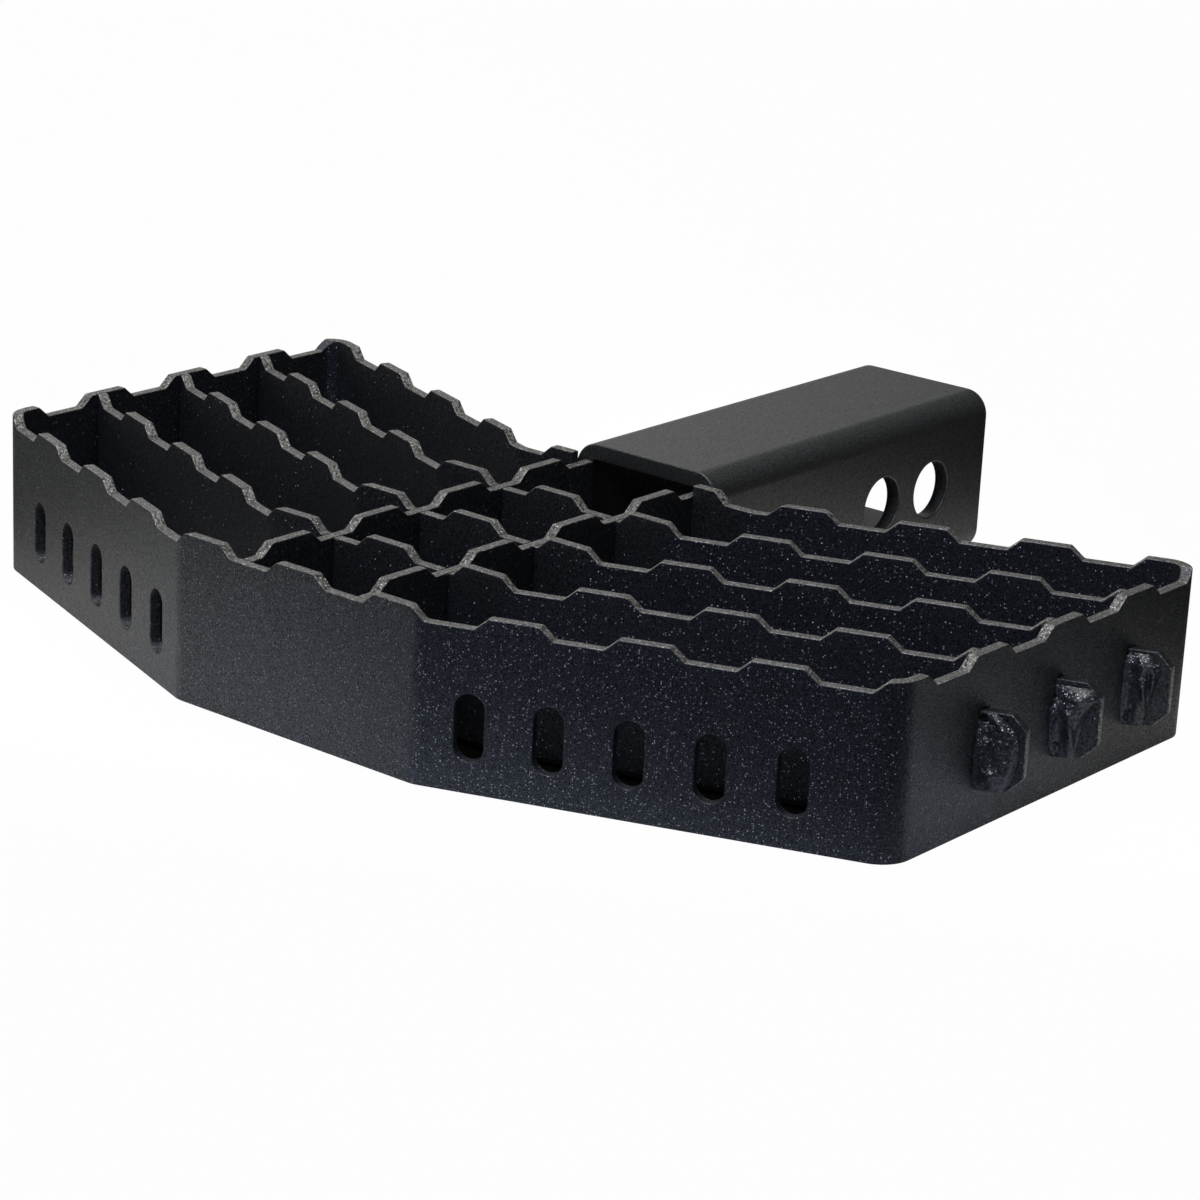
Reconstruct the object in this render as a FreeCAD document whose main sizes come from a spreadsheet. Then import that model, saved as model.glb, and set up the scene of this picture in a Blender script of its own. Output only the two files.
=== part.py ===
import FreeCAD, Part
import math
import os
import re
import Sketcher

# Hitch receiver step: a welded lattice of serrated steel strips carried by a square shank.
# Origin: on the shank's axis, in the middle of the rear hitch pin hole.
# +X is the step's right-hand side, +Y runs along the shank towards the vehicle, +Z is up.
# The formulas below measure Y from the front strip's front face and Z from the shank's underside.

BAR_COUNT = 3
WINDOW_COUNT = 5

# Driving dimensions in millimetres, angles in degrees
SIZES = {
    "shank_width": 50.8,
    "shank_wall": 4.8,
    "shank_corner_radius": 7.4,
    "shank_length": 135.7,
    "shank_front_gap": 3.2,
    "pin_hole_diameter": 17.5,
    "pin_hole_spacing": 25.4,
    "pin_hole_edge": 27.7,
    "overall_width": 318.6,
    "centre_width": 84.6,
    "wing_angle": 20.4,
    "plate_height": 46.8,
    "plate_thickness": 3.2,
    "bend_radius": 6.4,
    "rear_corner_radius": 3.8,
    "row_spacing": 33.9,
    "tooth_pitch": 33.9,
    "tooth_depth": 3.2,
    "valley_length": 13.2,
    "slope_run": 3.7,
    "rear_phase": 10.6,
    "end_crest_offset": 3.4,
    "rib_inset": 3.3,
    "rib_valley_length": 12.2,
    "lap_clearance": 0.15,
    "tab_height": 20.4,
    "tab_reach": 11.8,
    "tab_chamfer": 4.0,
    "tab_slot_clearance": 0.2,
    "window_width": 8.0,
    "window_height": 18.0,
    "window_pitch": 21.0,
    "window_start": 57.0,
    "window_centre_height": 17.5,
    "tab_weld_plate_leg": 2.4,
    "tab_weld_tab_leg": 7.6,
    "tab_weld_crown": 1.6,
    "tab_weld_length": 18.8,
    "shank_weld_leg": 6.0,
    "shank_weld_crown": 0.8,
    "shank_weld_length": 34.0,
}

# Places worked out from the driving dimensions, kept in the same sheet
DERIVED = {
    "overcut": "1.25 * plate_thickness",
    "plate_base": "(shank_width - plate_height) / 2",
    "front_bend": "centre_width / 2",
    "back_bend": "front_bend - plate_thickness * tan(wing_angle * 1deg / 2)",
    "side_outer": "overall_width / 2",
    "side_inner": "side_outer - plate_thickness",
    "wing_rise": "(side_outer - front_bend) * tan(wing_angle * 1deg)",
    "wing_skew": "plate_thickness / cos(wing_angle * 1deg)",
    "rear_row": f"{BAR_COUNT + 1} * row_spacing",
    "rib_outer": "shank_width / 2 - rib_inset",
    "shank_front": "rear_row + plate_thickness + shank_front_gap",
    "outer_bend_radius": "bend_radius + plate_thickness",
    "outer_corner_radius": "rear_corner_radius + plate_thickness",
    "valley_floor": "plate_height - tooth_depth",
    "tab_middle": "valley_floor / 2",
    "pin_line": "shank_front + shank_length - pin_hole_edge",
    "shank_axis": "shank_width / 2",
}

# How close two points or lines have to be to count as one, in millimetres
SAME_PLACE = 1e-3

doc = FreeCAD.newDocument("HitchReceiverStep")
sheet = doc.addObject("Spreadsheet::Sheet", "Sizes")


def fill_sheet():
    """Writes every driving dimension and every derived place with its alias."""
    row = 0
    for name, value in SIZES.items():
        row += 1
        sheet.set(f"A{row}", name)
        sheet.set(f"B{row}", str(value))
        sheet.setAlias(f"B{row}", name)
    doc.recompute()
    for name, formula in DERIVED.items():
        row += 1
        sheet.set(f"A{row}", name)
        sheet.set(f"B{row}", "=" + formula)
        sheet.setAlias(f"B{row}", name)
        doc.recompute()


fill_sheet()


def size(name):
    """Returns one value of the sheet as a plain number."""
    return float(sheet.get(name))


def value_of(formula):
    """Returns the number that a name, a sum of two names or zero stands for."""
    return sum(0.0 if word == "0" else size(word) for word in formula.split(" + "))


def words(formula):
    """Turns a formula in the sheet's own words into one that other objects can read."""
    names = "|".join(list(SIZES) + list(DERIVED))
    return re.sub(rf"\b({names})\b", r"Sizes.\1", formula)


def bind(item, **formulas):
    """Binds properties of an object to formulas of the sheet's values."""
    for prop, formula in formulas.items():
        item.setExpression(prop, words(formula))
    return item


def place(item, x="0", y="0", z="0", turn="0", tip="0"):
    """Binds an object's Placement: a turn about Z after a tip about X."""
    item.setExpression("Placement", words(
        f"placement(vector({x}; {y}; {z}); "
        f"rotation(vector(0; 0; 1); {turn}) * rotation(vector(1; 0; 0); {tip}))"))
    return item


def stand(item, x="0", y="0", z="0", turn="0"):
    """Places a finished piece in the part's own frame, with the rear pin hole at the origin."""
    return place(item, x=x, y=f"{y} - pin_line", z=f"{z} - shank_axis", turn=turn)


def compound(name, items):
    """Gathers several tools into one compound."""
    group = doc.addObject("Part::Compound", name)
    group.Links = items
    return group


def mirror(name, source):
    """Mirrors an object to the other side of the step."""
    twin = doc.addObject("Part::Mirroring", name)
    twin.Source = source
    twin.Base = (0, 0, 0)
    twin.Normal = (1, 0, 0)
    return twin


def both_sides(name, items):
    """Returns a compound of the right-hand tools and their mirror images."""
    right = compound(name + "_right", items)
    left = mirror(name + "_left", right)
    return compound(name, [right, left])


# Sketch helpers

def body_plane(body, role):
    """Finds one of a body's own origin planes."""
    return [item for item in body.Origin.OriginFeatures if item.Role == role][0]


def new_sketch(body, name, role):
    """Adds a sketch to a body on one of its origin planes."""
    sketch = body.newObject("Sketcher::SketchObject", name)
    sketch.AttachmentSupport = [(body_plane(body, role), "")]
    sketch.MapMode = "FlatFace"
    return sketch


def closed_lines(sketch, points):
    """Draws a closed outline of straight lines and joins their ends."""
    vectors = [FreeCAD.Vector(x, y, 0) for x, y in points]
    count = len(vectors)
    first = sketch.GeometryCount
    for index in range(count):
        sketch.addGeometry(Part.LineSegment(vectors[index], vectors[(index + 1) % count]), False)
    for index in range(count):
        sketch.addConstraint(Sketcher.Constraint(
            "Coincident", first + index, 2, first + (index + 1) % count, 1))
    return first


def dimension(sketch, kind, *where, formula):
    """Adds a driving distance between two points and binds it to the sheet."""
    step = sketch.getPoint(*where[2:]) - sketch.getPoint(*where[:2])
    start = step.x if kind == "DistanceX" else step.y
    index = sketch.addConstraint(Sketcher.Constraint(kind, *where, start))
    sketch.setExpression(f"Constraints[{index}]", words(formula))


def slant(sketch, line, formula):
    """Holds a line at a bound angle to the sketch's X axis."""
    index = sketch.addConstraint(
        Sketcher.Constraint("Angle", -1, line, math.radians(size("wing_angle"))))
    sketch.setExpression(f"Constraints[{index}]", words(formula))


def vee_sketch(body, name, front, side, rear):
    """Draws a V-shaped band seen from above, the same on both sides of the middle.

    front and rear are (x, y) names of the right-hand bends, side the half width.
    """
    angle = math.radians(size("wing_angle"))
    front_x, front_y = size(front[0]), value_of(front[1])
    rear_x, rear_y = size(rear[0]), value_of(rear[1])
    side_x = size(side)
    front_end = front_y + (side_x - front_x) * math.tan(angle)
    rear_end = rear_y + (side_x - rear_x) * math.tan(angle)
    sketch = new_sketch(body, name, "XY_Plane")
    closed_lines(sketch, [
        (-front_x, front_y), (front_x, front_y), (side_x, front_end), (side_x, rear_end),
        (rear_x, rear_y), (-rear_x, rear_y), (-side_x, rear_end), (-side_x, front_end)])
    centre_line, right_wing, right_end, right_back, back_line, left_end = 0, 1, 2, 3, 4, 6
    vertical_axis = -2
    for right_part, right_vertex, left_part, left_vertex in (
            (centre_line, 2, centre_line, 1), (right_wing, 2, left_end, 2),
            (right_end, 2, left_end, 1), (back_line, 1, back_line, 2)):
        sketch.addConstraint(Sketcher.Constraint(
            "Symmetric", left_part, left_vertex, right_part, right_vertex, vertical_axis))
    sketch.addConstraint(Sketcher.Constraint("Vertical", right_end))
    sketch.addConstraint(Sketcher.Constraint("Parallel", right_wing, right_back))
    dimension(sketch, "DistanceX", -1, 1, centre_line, 2, formula=front[0])
    if front[1] == "0":
        sketch.addConstraint(Sketcher.Constraint("PointOnObject", centre_line, 2, -1))
    else:
        dimension(sketch, "DistanceY", -1, 1, centre_line, 2, formula=front[1])
    dimension(sketch, "DistanceX", -1, 1, right_wing, 2, formula=side)
    slant(sketch, right_wing, "wing_angle * 1deg")
    dimension(sketch, "DistanceX", -1, 1, back_line, 1, formula=rear[0])
    dimension(sketch, "DistanceY", -1, 1, back_line, 1, formula=rear[1])
    return sketch


def pad(body, name, sketch, length):
    """Pads a sketch upwards by a bound length."""
    feature = body.newObject("PartDesign::Pad", name)
    feature.Profile = sketch
    bind(feature, Length=length)
    return feature


def pocket_through(body, name, sketch):
    """Cuts a sketch through the whole body in both directions."""
    feature = body.newObject("PartDesign::Pocket", name)
    feature.Profile = sketch
    feature.Type = "ThroughAll"
    feature.Midplane = True
    return feature


def upright_edges(feature, points):
    """Finds the names of the vertical edges that stand on the given plan points."""
    names = []
    for index, edge in enumerate(feature.Shape.Edges, 1):
        low, high = edge.Vertexes[0].Point, edge.Vertexes[-1].Point
        upright = math.hypot(low.x - high.x, low.y - high.y) < SAME_PLACE
        if upright and any(math.hypot(low.x - x, low.y - y) < SAME_PLACE for x, y in points):
            names.append(f"Edge{index}")
    return names


def round_edges(body, name, base, edges, radius):
    """Rounds edges of the body with a bound radius."""
    feature = body.newObject("PartDesign::Fillet", name)
    feature.Base = (base, edges)
    bind(feature, Radius=radius)
    doc.recompute()
    return feature


def new_body(name):
    """Starts a body."""
    return doc.addObject("PartDesign::Body", name)


# Cutting tools, all drawn with the strips' underside at z = 0

def valley_tool(name, x, y, turn, length):
    """A trapezoid that cuts one valley between two teeth, at a point of the strip's outer face."""
    tool = doc.addObject("Part::Wedge", name)
    floor_half = f"({length}) / 2"
    top_half = f"({length}) / 2 + slope_run * (tooth_depth + overcut) / tooth_depth"
    bind(tool, Xmin=f"-({floor_half})", Xmax=floor_half, X2min=f"-({top_half})", X2max=top_half,
         Ymin="valley_floor", Ymax="plate_height + overcut",
         Zmin="-plate_thickness - overcut", Z2min="-plate_thickness - overcut",
         Zmax="overcut", Z2max="overcut")
    return place(tool, x=x, y=y, turn=turn, tip="90")


def wing_point(reach, row="0"):
    """Returns the plan point at a developed distance from the middle, along a wing's front face."""
    run = f"(({reach}) - front_bend)"
    return (f"front_bend + {run} * cos(wing_angle * 1deg)",
            f"({row}) + {run} * sin(wing_angle * 1deg)")


def row_valleys(name, row="0", phase="0", first=0):
    """Makes the valleys of one row from the middle out to the last whole one before the corner."""
    corner = size("front_bend") + size("wing_rise") / math.sin(math.radians(size("wing_angle")))
    half_mouth = size("valley_length") / 2 + size("slope_run")
    tools = []
    index = first
    while True:
        reach = f"{index + 0.5} * tooth_pitch - ({phase})"
        distance = (index + 0.5) * size("tooth_pitch") - value_of(phase)
        if distance + half_mouth > corner - size("plate_thickness"):
            return tools
        if distance < size("front_bend"):
            x, y, turn = reach, row, "0"
        else:
            x, y = wing_point(reach, row)
            turn = "wing_angle"
        tools.append(valley_tool(f"{name}_{index}", x, y, turn, "valley_length"))
        index += 1


def lap_slot(name, x, y, z, along_x):
    """A box that cuts half of a cross-lap joint, open above or below."""
    tool = doc.addObject("Part::Box", name)
    narrow = "plate_thickness + 2 * lap_clearance"
    wide = "plate_thickness + 2 * overcut"
    bind(tool, Length=narrow if along_x else wide, Width=wide if along_x else narrow,
         Height="plate_height / 2 + overcut")
    return place(tool, x=x, y=y, z=z)


# Rounded windows cut through a wing, drawn along the strip's face

def window_tool(name, reach):
    """One upright window with round ends."""
    x, y = wing_point(reach)
    parts = []
    radius = "window_width / 2"
    straight = "window_height - window_width"
    depth = "plate_thickness + 2 * overcut"
    slab = doc.addObject("Part::Box", name + "_slab")
    bind(slab, Length="window_width", Width=depth, Height=straight)
    place(slab, x=f"{x} - {radius} * cos(wing_angle * 1deg) + overcut * sin(wing_angle * 1deg)",
          y=f"{y} - {radius} * sin(wing_angle * 1deg) - overcut * cos(wing_angle * 1deg)",
          z=f"window_centre_height - ({straight}) / 2", turn="wing_angle")
    parts.append(slab)
    for end, sign in (("low", "-"), ("high", "+")):
        round_end = doc.addObject("Part::Cylinder", f"{name}_{end}")
        bind(round_end, Radius=radius, Height=depth)
        place(round_end,
              x=f"{x} - (plate_thickness + overcut) * sin(wing_angle * 1deg)",
              y=f"{y} + (plate_thickness + overcut) * cos(wing_angle * 1deg)",
              z=f"window_centre_height {sign} ({straight}) / 2", turn="wing_angle", tip="90")
        parts.append(round_end)
    window = doc.addObject("Part::MultiFuse", name)
    window.Shapes = parts
    return window


# Outer frame: one strip bent round the step, its two ends at the ribs

def make_outer_frame():
    """The outer strip: serrated all round, its rear ends left apart where the shank stands."""
    body = new_body("FrameStrip")
    outline = vee_sketch(body, "FrameOutline", ("front_bend", "0"), "side_outer",
                         ("back_bend", "rear_row + plate_thickness"))
    pad(body, "FramePad", outline, "plate_height")
    inside = vee_sketch(body, "FrameInside", ("back_bend", "plate_thickness"), "side_inner",
                        ("front_bend", "rear_row"))
    pocket_through(body, "FramePocket", inside)
    gap = new_sketch(body, "RearGap", "XY_Plane")
    half = size("rib_outer")
    low = size("rear_row") - size("overcut")
    high = size("rear_row") + size("plate_thickness") + size("overcut")
    closed_lines(gap, [(-half, low), (half, low), (half, high), (-half, high)])
    gap.addConstraint(Sketcher.Constraint("Horizontal", 2))
    for line in (1, 3):
        gap.addConstraint(Sketcher.Constraint("Vertical", line))
    gap.addConstraint(Sketcher.Constraint("Symmetric", 0, 1, 0, 2, -2))
    dimension(gap, "DistanceX", -1, 1, 0, 2, formula="rib_outer")
    dimension(gap, "DistanceY", -1, 1, 0, 2, formula="rear_row - overcut")
    dimension(gap, "DistanceY", -1, 1, 2, 1, formula="rear_row + plate_thickness + overcut")
    cut = pocket_through(body, "RearGapPocket", gap)
    doc.recompute()

    rise, skew, rear = size("wing_rise"), size("wing_skew"), size("rear_row")
    thick = size("plate_thickness")
    inner_rise = rise - thick * math.tan(math.radians(size("wing_angle")))
    outer_bends, inner_bends, outer_corners, inner_corners = [], [], [], []
    for sign in (-1, 1):
        outer_bends += [(sign * size("front_bend"), 0), (sign * size("side_outer"), rise),
                        (sign * size("front_bend"), rear)]
        inner_bends += [(sign * size("back_bend"), thick),
                        (sign * size("side_inner"), inner_rise + skew),
                        (sign * size("back_bend"), rear + thick)]
        outer_corners.append((sign * size("side_outer"), rear + rise + skew))
        inner_corners.append((sign * size("side_inner"), rear + inner_rise))
    bent = cut
    for name, points, radius in (("OuterBends", outer_bends, "outer_bend_radius"),
                                 ("InnerBends", inner_bends, "bend_radius"),
                                 ("OuterRearCorners", outer_corners, "outer_corner_radius"),
                                 ("InnerRearCorners", inner_corners, "rear_corner_radius")):
        bent = round_edges(body, name, bent, upright_edges(bent, points), radius)
    body.Tip = bent

    tools = row_valleys("front_valley")
    tools += row_valleys("rear_valley", row="rear_row", phase="rear_phase", first=1)
    for index in range(BAR_COUNT + 1):
        tools.append(valley_tool(
            f"end_valley_{index}", "side_outer",
            f"wing_rise + end_crest_offset + {index + 0.5} * row_spacing", "90", "valley_length"))
    for index in range(1, BAR_COUNT + 1):
        tools.append(tab_slot(f"tab_slot_{index}", index))
    for index in range(WINDOW_COUNT):
        tools.append(window_tool(f"window_{index}", f"window_start + {index} * window_pitch"))
    return finish("outer_frame", body, both_sides("frame_cuts", tools), z="plate_base")


def tab_slot(name, index):
    """The slanted slot in an end plate that a bar's tab passes through."""
    tool = doc.addObject("Part::Box", name)
    bind(tool, Length="tab_reach + 2 * overcut + plate_thickness",
         Width="plate_thickness + 2 * tab_slot_clearance", Height="tab_height + 2 * tab_slot_clearance")
    back = "(overcut + 2 * plate_thickness)"
    return place(tool,
                 x=f"side_outer - {back} * cos(wing_angle * 1deg)"
                   " + tab_slot_clearance * sin(wing_angle * 1deg)",
                 y=f"{index} * row_spacing + wing_rise - {back} * sin(wing_angle * 1deg)"
                   " - tab_slot_clearance * cos(wing_angle * 1deg)",
                 z="tab_middle - tab_height / 2 - tab_slot_clearance", turn="wing_angle")


def finish(label, base, cuts, **where):
    """Cuts the tools from a base and returns the finished piece under its own name."""
    piece = doc.addObject("Part::Cut", label + "_piece")
    piece.Base = base
    piece.Tool = cuts
    piece.Label = label
    return stand(piece, **where)


# Cross bars: three V-shaped strips with a tab at each end

def make_tab():
    """A bar's right-hand tab, chamfered at its outer corners, rooted inside the bar's end."""
    body = new_body("TabPlate")
    outline = new_sketch(body, "TabOutline", "XZ_Plane")
    reach, half, chamfer = size("tab_reach"), size("tab_height") / 2, size("tab_chamfer")
    root = size("plate_thickness") + size("overcut")
    closed_lines(outline, [(-root, -half), (reach - chamfer, -half), (reach, chamfer - half),
                           (reach, half - chamfer), (reach - chamfer, half), (-root, half)])
    bottom, tip, top = 0, 2, 4
    outline.addConstraint(Sketcher.Constraint("Horizontal", bottom))
    outline.addConstraint(Sketcher.Constraint("Symmetric", bottom, 1, top, 2, -1))
    outline.addConstraint(Sketcher.Constraint("Symmetric", tip, 1, tip, 2, -1))
    outline.addConstraint(Sketcher.Constraint("Symmetric", bottom, 2, top, 1, -1))
    dimension(outline, "DistanceX", bottom, 1, -1, 1, formula="plate_thickness + overcut")
    dimension(outline, "DistanceX", -1, 1, tip, 1, formula="tab_reach")
    dimension(outline, "DistanceX", -1, 1, bottom, 2, formula="tab_reach - tab_chamfer")
    dimension(outline, "DistanceY", -1, 1, top, 1, formula="tab_height / 2")
    dimension(outline, "DistanceY", -1, 1, tip, 2, formula="tab_height / 2 - tab_chamfer")
    feature = pad(body, "TabPad", outline, "plate_thickness")
    feature.Reversed = True
    body.Tip = feature
    place(body, x="side_outer", y="wing_rise", z="tab_middle", turn="wing_angle")
    doc.recompute()
    return body


def make_bars():
    """Three equal V-shaped bars, one tab through each end plate, slotted from above for the ribs."""
    body = new_body("BarStrip")
    outline = vee_sketch(body, "BarOutline", ("front_bend", "0"), "side_inner",
                         ("back_bend", "plate_thickness"))
    solid = pad(body, "BarPad", outline, "plate_height")
    doc.recompute()
    outer_points = [(sign * size("front_bend"), 0) for sign in (-1, 1)]
    inner_points = [(sign * size("back_bend"), size("plate_thickness")) for sign in (-1, 1)]
    outer = round_edges(body, "BarOuterBends", solid, upright_edges(solid, outer_points),
                        "outer_bend_radius")
    inner = round_edges(body, "BarInnerBends", outer, upright_edges(outer, inner_points), "bend_radius")
    body.Tip = inner
    tab = make_tab()
    strip = doc.addObject("Part::MultiFuse", "BarWithTabs")
    strip.Shapes = [body, tab, mirror("TabPlateLeft", tab)]
    tools = row_valleys("bar_valley")
    tools.append(lap_slot("bar_lap", "rib_outer - plate_thickness - lap_clearance",
                          "-overcut", "plate_height / 2", True))
    cuts = both_sides("bar_cuts", tools)
    names = ("cross_bar_front", "cross_bar_middle", "cross_bar_rear")
    return [finish(name, strip, cuts, y=f"{index} * row_spacing", z="plate_base")
            for index, name in enumerate(names, 1)]


# Ribs: two fore-and-aft strips from the front strip to the shank's front end

def make_ribs():
    """The two ribs, slotted from below where they cross the bars."""
    ribs = []
    for label, near_face in (("rib_left", "-rib_outer"), ("rib_right", "rib_outer - plate_thickness")):
        strip = doc.addObject("Part::Box", label + "_strip")
        bind(strip, Length="plate_thickness", Width="shank_front - plate_thickness",
             Height="plate_height")
        place(strip, y="plate_thickness")
        tools = []
        for index in range(BAR_COUNT + 2):
            middle = f"{index} * row_spacing + plate_thickness / 2"
            tools.append(valley_tool(f"{label}_valley_{index}", "plate_thickness", middle, "90",
                                     "rib_valley_length"))
        for index in range(1, BAR_COUNT + 1):
            tools.append(lap_slot(f"{label}_lap_{index}", "-overcut",
                                  f"{index} * row_spacing - lap_clearance", "-overcut", False))
        ribs.append(finish(label, strip, compound(label + "_cuts", tools),
                           x=near_face, z="plate_base"))
    return ribs


# Shank: square tube with two cross holes for the hitch pin

def make_shank():
    """A square tube, open at both ends, rounded inside and out along its corners."""
    body = new_body("Shank")
    body.Label = "shank"
    section = new_sketch(body, "ShankSection", "XZ_Plane")
    for half, formula in ((size("shank_width") / 2, "shank_width / 2"),
                          (size("shank_width") / 2 - size("shank_wall"), "shank_width / 2 - shank_wall")):
        first = closed_lines(section, [(-half, -half), (half, -half), (half, half), (-half, half)])
        for line in (first, first + 2):
            section.addConstraint(Sketcher.Constraint("Horizontal", line))
        for line in (first + 1, first + 3):
            section.addConstraint(Sketcher.Constraint("Vertical", line))
        section.addConstraint(Sketcher.Constraint("Symmetric", first, 1, first + 1, 2, -1, 1))
        dimension(section, "DistanceX", -1, 1, first + 1, 2, formula=formula)
        dimension(section, "DistanceY", -1, 1, first + 1, 2, formula=formula)
    tube = pad(body, "ShankPad", section, "shank_length")
    tube.Reversed = True
    doc.recompute()
    outer = round_edges(body, "ShankOuterCorners", tube, lengthwise_edges(tube, size("shank_width") / 2),
                        "shank_corner_radius")
    inner_half = size("shank_width") / 2 - size("shank_wall")
    inner = round_edges(body, "ShankInnerCorners", outer, lengthwise_edges(outer, inner_half),
                        "shank_corner_radius - shank_wall")
    holes = new_sketch(body, "PinHoles", "YZ_Plane")
    for index, formula in enumerate(("shank_length - pin_hole_edge",
                                     "shank_length - pin_hole_edge - pin_hole_spacing")):
        centre = FreeCAD.Vector(size("shank_length") - size("pin_hole_edge")
                                - index * size("pin_hole_spacing"), 0, 0)
        circle = holes.addGeometry(
            Part.Circle(centre, FreeCAD.Vector(0, 0, 1), size("pin_hole_diameter") / 2), False)
        holes.addConstraint(Sketcher.Constraint("PointOnObject", circle, 3, -1))
        dimension(holes, "DistanceX", -1, 1, circle, 3, formula=formula)
        bore = holes.addConstraint(
            Sketcher.Constraint("Diameter", circle, size("pin_hole_diameter")))
        holes.setExpression(f"Constraints[{bore}]", words("pin_hole_diameter"))
    body.Tip = pocket_through(body, "PinHolePocket", holes)
    doc.recompute()
    return stand(body, y="shank_front", z="shank_axis")


def lengthwise_edges(feature, half):
    """Finds the tube's edges that run along Y at a corner of the given half width."""
    names = []
    for index, edge in enumerate(feature.Shape.Edges, 1):
        low, high = edge.Vertexes[0].Point, edge.Vertexes[-1].Point
        along = math.hypot(low.x - high.x, low.z - high.z) < SAME_PLACE
        if along and abs(abs(low.x) - half) < SAME_PLACE and abs(abs(low.z) - half) < SAME_PLACE:
            names.append(f"Edge{index}")
    return names


# Weld beads: fillets with a raised crown, drawn in plan and padded upwards

def crown_radius(chord, crown):
    """Formula of the radius of an arc that rises by its crown over its chord."""
    return f"(({chord}) ^ 2 / 4 + ({crown}) ^ 2) / (2 * ({crown}))"


def draw_bead(sketch, points, crowned, crown):
    """Draws a bead's outline: straight sides but for the crowned one, which bulges outwards."""
    vectors = [FreeCAD.Vector(x, y, 0) for x, y in points]
    count = len(vectors)
    for index in range(count):
        start, end = vectors[index], vectors[(index + 1) % count]
        side = Part.LineSegment(start, end)
        if index == crowned:
            outwards = FreeCAD.Vector(end.y - start.y, start.x - end.x, 0).normalize()
            side = Part.Arc(start, (start + end) * 0.5 + outwards * crown, end)
        sketch.addGeometry(side, False)
    # An arc always runs anticlockwise, as the outline does, so its ends keep their order
    for index in range(count):
        sketch.addConstraint(Sketcher.Constraint("Coincident", index, 2, (index + 1) % count, 1))


def bind_radius(sketch, arc, formula):
    """Binds an arc's radius to the sheet."""
    index = sketch.addConstraint(Sketcher.Constraint("Radius", arc, sketch.Geometry[arc].Radius))
    sketch.setExpression(f"Constraints[{index}]", words(formula))


def make_tab_welds():
    """One bead on the front of each tab, where it leaves the end plate."""
    angle = math.radians(size("wing_angle"))
    plate_leg, tab_leg = size("tab_weld_plate_leg"), size("tab_weld_tab_leg")
    welds = []
    for index in range(1, BAR_COUNT + 1):
        body = new_body(f"TabWeld{index}")
        body.Label = f"tab_weld_right_{index}"
        sketch = new_sketch(body, f"TabWeldOutline{index}", "XY_Plane")
        tab_end = (tab_leg * math.cos(angle), tab_leg * math.sin(angle))
        draw_bead(sketch, [(0, 0), (0, -plate_leg), tab_end], 1, size("tab_weld_crown"))
        plate_side, crown, tab_side = range(3)
        sketch.addConstraint(Sketcher.Constraint("Coincident", plate_side, 1, -1, 1))
        sketch.addConstraint(Sketcher.Constraint("PointOnObject", plate_side, 2, -2))
        across = "tab_weld_tab_leg * cos(wing_angle * 1deg)"
        along = "tab_weld_tab_leg * sin(wing_angle * 1deg)"
        dimension(sketch, "DistanceY", plate_side, 2, -1, 1, formula="tab_weld_plate_leg")
        dimension(sketch, "DistanceX", -1, 1, tab_side, 1, formula=across)
        dimension(sketch, "DistanceY", -1, 1, tab_side, 1, formula=along)
        chord = f"sqrt(({across}) ^ 2 + (tab_weld_plate_leg + {along}) ^ 2)"
        bind_radius(sketch, crown, crown_radius(chord, "tab_weld_crown"))
        body.Tip = pad(body, f"TabWeldPad{index}", sketch, "tab_weld_length")
        stand(body, x="side_outer", y=f"wing_rise + {index} * row_spacing",
              z="plate_base + tab_middle - tab_height / 2")
        left = mirror(f"TabWeldLeft{index}", body)
        left.Label = f"tab_weld_left_{index}"
        welds += [body, left]
    return welds


def make_shank_welds():
    """One upright bead in each corner between the frame's ends and the shank's side."""
    inset, gap, leg = size("rib_inset"), size("shank_front_gap"), size("shank_weld_leg")
    body = new_body("ShankWeld")
    body.Label = "shank_weld_right"
    sketch = new_sketch(body, "ShankWeldOutline", "XY_Plane")
    draw_bead(sketch, [(-inset, 0), (leg, 0), (0, gap + leg), (0, gap), (-inset, gap)], 1,
              size("shank_weld_crown"))
    plate_side, crown, shank_side, shank_end, rib_side = range(5)
    sketch.addConstraint(Sketcher.Constraint("Horizontal", plate_side))
    sketch.addConstraint(Sketcher.Constraint("Vertical", shank_side))
    sketch.addConstraint(Sketcher.Constraint("Horizontal", shank_end))
    sketch.addConstraint(Sketcher.Constraint("Vertical", rib_side))
    sketch.addConstraint(Sketcher.Constraint("PointOnObject", plate_side, 1, -1))
    sketch.addConstraint(Sketcher.Constraint("PointOnObject", shank_side, 1, -2))
    dimension(sketch, "DistanceX", plate_side, 1, -1, 1, formula="rib_inset")
    dimension(sketch, "DistanceX", -1, 1, plate_side, 2, formula="shank_weld_leg")
    dimension(sketch, "DistanceY", -1, 1, shank_side, 1, formula="shank_front_gap + shank_weld_leg")
    dimension(sketch, "DistanceY", -1, 1, shank_end, 1, formula="shank_front_gap")
    chord = "sqrt(shank_weld_leg ^ 2 + (shank_front_gap + shank_weld_leg) ^ 2)"
    bind_radius(sketch, crown, crown_radius(chord, "shank_weld_crown"))
    body.Tip = pad(body, "ShankWeldPad", sketch, "shank_weld_length")
    stand(body, x="shank_width / 2", y="rear_row + plate_thickness",
          z="(shank_width - shank_weld_length) / 2")
    left = mirror("ShankWeldLeft", body)
    left.Label = "shank_weld_left"
    return [body, left]


def check_document():
    """Stops if any object of the document failed to work out."""
    for item in doc.Objects:
        if "Invalid" in item.State or "Error" in item.State:
            raise RuntimeError(f"{item.Label} failed: {item.State}")


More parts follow.
